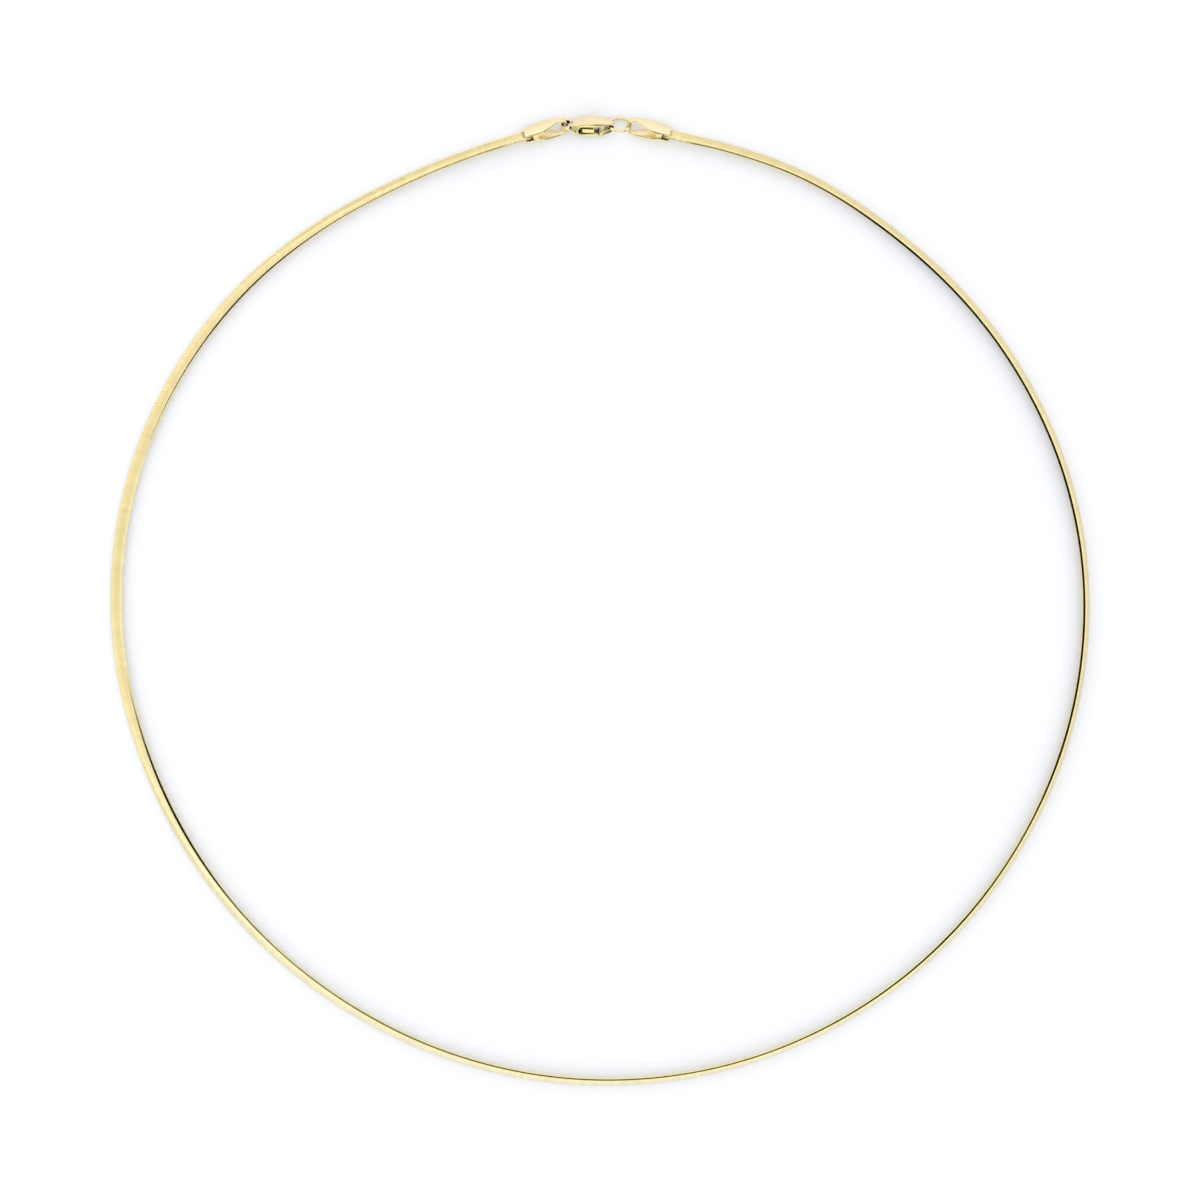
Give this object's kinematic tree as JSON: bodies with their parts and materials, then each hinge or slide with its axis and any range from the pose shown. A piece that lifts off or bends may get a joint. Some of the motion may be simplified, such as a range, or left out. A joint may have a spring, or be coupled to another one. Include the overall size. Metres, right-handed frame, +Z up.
{
  "type": "herringbone chain necklace",
  "caption": "Neck chain: a flat woven herringbone band with folded end caps, fastened by a sprung lobster clasp in a jump ring, lying closed in a round loop.",
  "frame": {"origin": "on the surface that the necklace lies on, under the middle of the box round the whole loop", "axes": "+Z up from the surface, square to the loop; +Y towards the clasp; +X from the clasp towards the jump ring"},
  "size_m": [0.1491, 0.1476, 0.0031],
  "materials": {
    "chain_gold": "polished links",
    "cap_gold": "satin",
    "clasp_gold": "polished",
    "lever_gold": "polished",
    "ring_gold": "polished"
  },
  "bodies": {
    "necklace": {"chain": "chain_gold", "end_cap_clasp_side": "cap_gold", "end_cap_ring_side": "cap_gold", "clasp_body": "clasp_gold", "lever_pin": "lever_gold", "jump_ring": "ring_gold"},
    "lever": {"clasp_lever": "lever_gold"}
  },
  "joints": [
    {"name": "lever_swing", "type": "hinge", "parent": "necklace", "child": "lever", "pos_m": [-0.00382, 0.07191, 0.00129], "axis": [0, -0.6691, 0.7431], "range_deg": [0, 18], "stiffness_Nm_per_rad": 0.0002}
  ]
}
